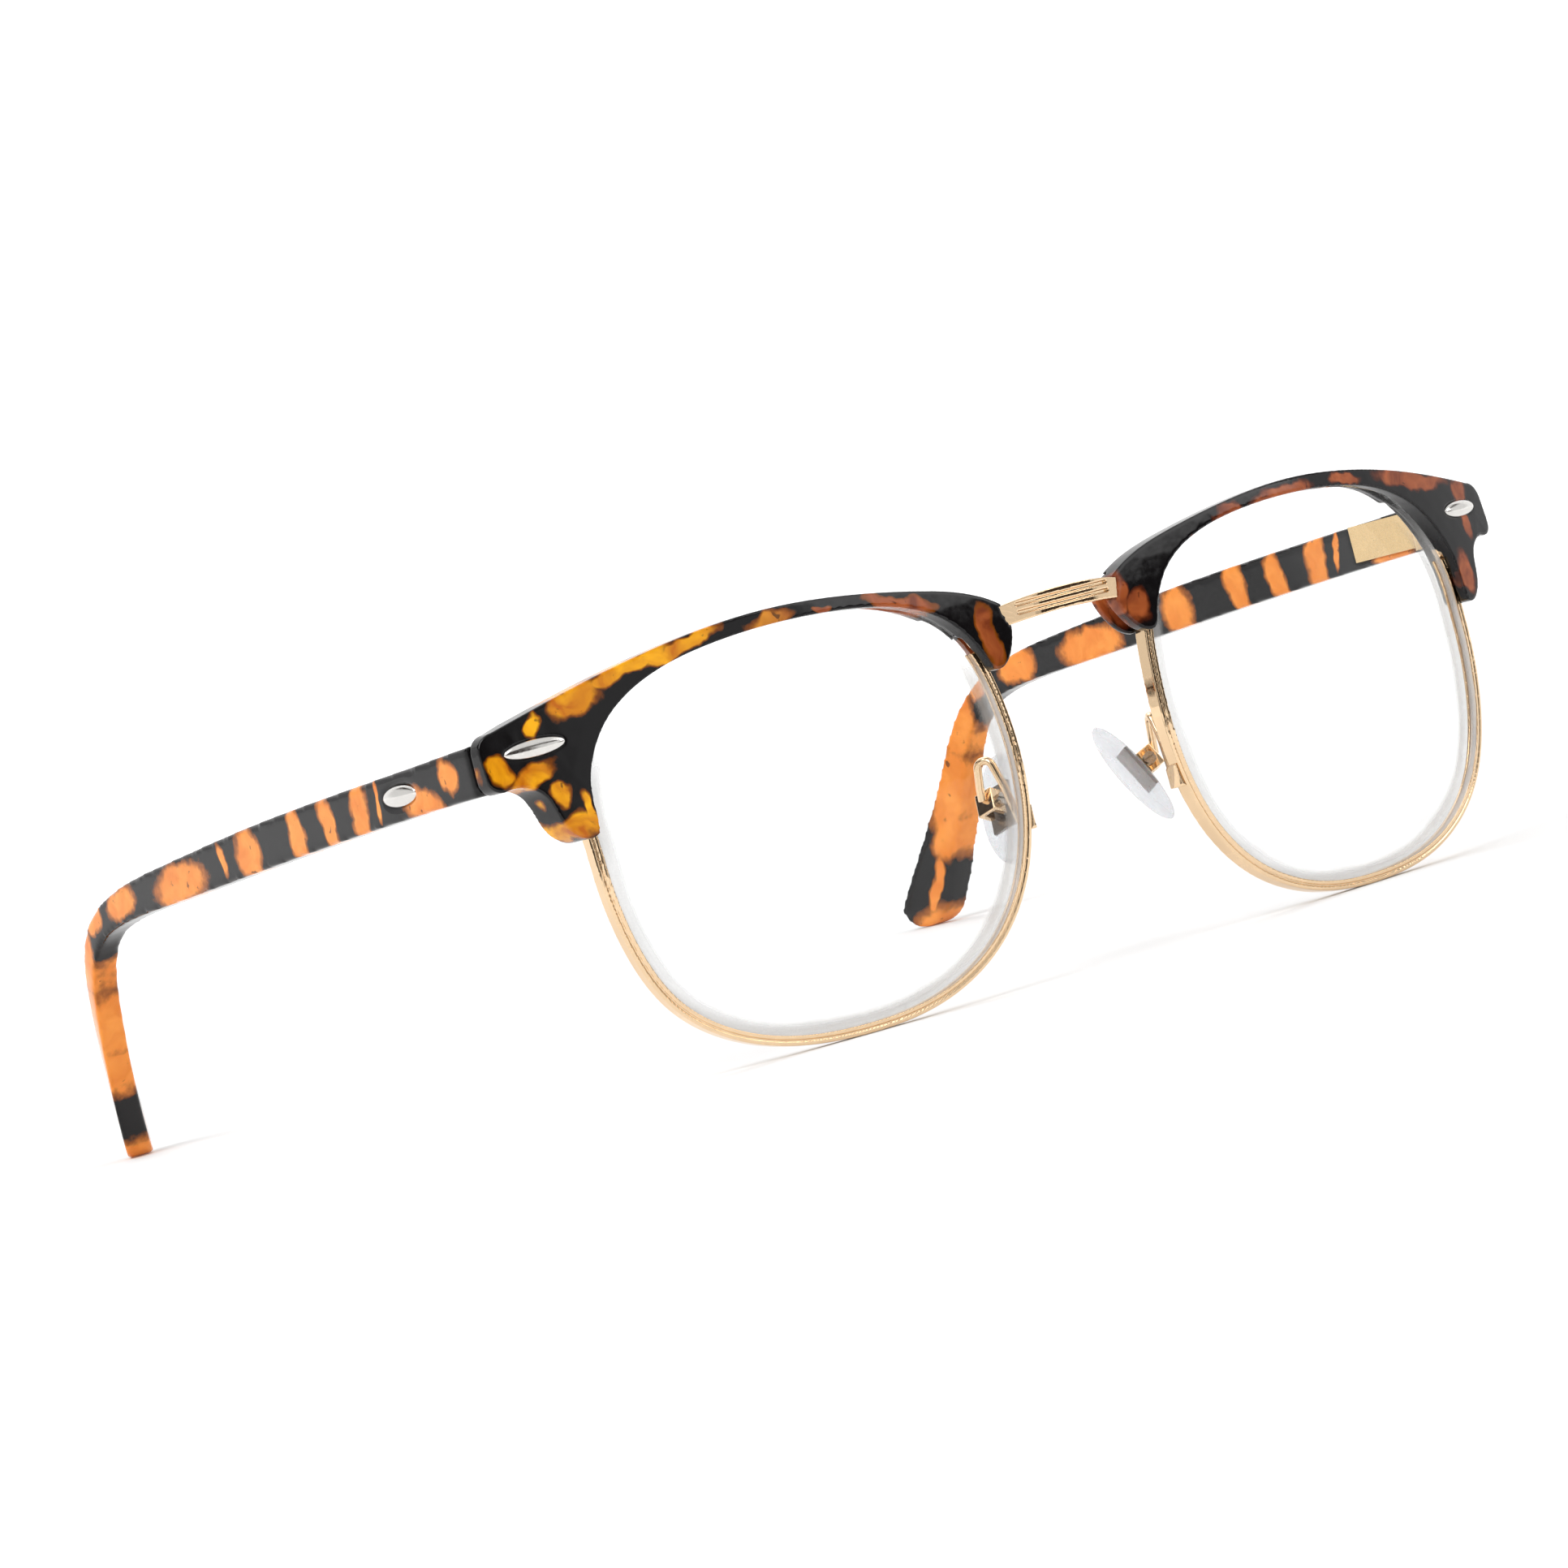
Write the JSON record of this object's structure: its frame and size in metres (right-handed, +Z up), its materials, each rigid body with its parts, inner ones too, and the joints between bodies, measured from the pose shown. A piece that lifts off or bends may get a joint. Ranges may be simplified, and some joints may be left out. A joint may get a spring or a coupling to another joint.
{
  "type": "half rim eyeglasses",
  "caption": "Browline eyeglasses: tortoise plastic brow bars over gold half rims, fluted metal bridge, adjustable silicone nose pads, folding tortoise temples.",
  "frame": {"origin": "below the middle of the bounding box, on the surface that the rims and temple tips stand on", "axes": "+X to the wearer's left, +Y from the lenses towards the temple tips, +Z up"},
  "size_m": [0.138, 0.1234, 0.0453],
  "materials": {
    "tortoise_plastic": "polished tortoise: amber and red-brown with black blotches",
    "gold_metal": "polished light gold plating",
    "clear_lens": "clear, with a frosted edge",
    "clear_silicone": "clear soft silicone",
    "silver_trim": "polished",
    "screw_steel": "turned steel",
    "insert_metal": "dull grey metal",
    "hinge_metal": "gold plated hinge"
  },
  "bodies": {
    "front_frame": {"bridge": "gold_metal", "right_rim": "gold_metal", "right_lens": "clear_lens", "right_brow": "tortoise_plastic", "right_front_rivet": "silver_trim", "right_nasal_brow_screw": "screw_steel", "right_outer_brow_screw": "screw_steel", "right_nasal_lug": "gold_metal", "right_outer_lug": "gold_metal", "right_pad_arm": "gold_metal", "right_pad_box": "gold_metal", "right_pad_screw": "screw_steel", "right_front_hinge_leaf": "hinge_metal", "right_hinge_screw": "screw_steel", "left_rim": "gold_metal", "left_lens": "clear_lens", "left_brow": "tortoise_plastic", "left_front_rivet": "silver_trim", "left_nasal_brow_screw": "screw_steel", "left_outer_brow_screw": "screw_steel", "left_nasal_lug": "gold_metal", "left_outer_lug": "gold_metal", "left_pad_arm": "gold_metal", "left_pad_box": "gold_metal", "left_pad_screw": "screw_steel", "left_front_hinge_leaf": "hinge_metal", "left_hinge_screw": "screw_steel"},
    "right_arm": {"right_temple": "tortoise_plastic", "right_temple_hinge_leaf": "hinge_metal", "right_temple_rivet": "silver_trim"},
    "left_arm": {"left_temple": "tortoise_plastic", "left_temple_hinge_leaf": "hinge_metal", "left_temple_rivet": "silver_trim"},
    "right_pad": {"right_nose_pad": "clear_silicone", "right_pad_insert": "insert_metal"},
    "left_pad": {"left_nose_pad": "clear_silicone", "left_pad_insert": "insert_metal"}
  },
  "joints": [
    {"name": "right_temple_fold", "type": "hinge", "parent": "front_frame", "child": "right_arm", "pos_m": [-0.063, -0.0462, 0.03605], "axis": [0, -0.0273, -0.9996], "range_deg": [0, 76]},
    {"name": "left_temple_fold", "type": "hinge", "parent": "front_frame", "child": "left_arm", "pos_m": [0.063, -0.0462, 0.03605], "axis": [0, 0.0273, 0.9996], "range_deg": [0, 86]},
    {"name": "right_pad_rock", "type": "hinge", "parent": "front_frame", "child": "right_pad", "pos_m": [-0.0106, -0.05436, 0.01926], "axis": [-0.2907, 0.912, -0.2894], "range_deg": [-4, 4]},
    {"name": "left_pad_rock", "type": "hinge", "parent": "front_frame", "child": "left_pad", "pos_m": [0.0106, -0.05436, 0.01926], "axis": [-0.2907, -0.912, 0.2894], "range_deg": [-4, 4]}
  ]
}
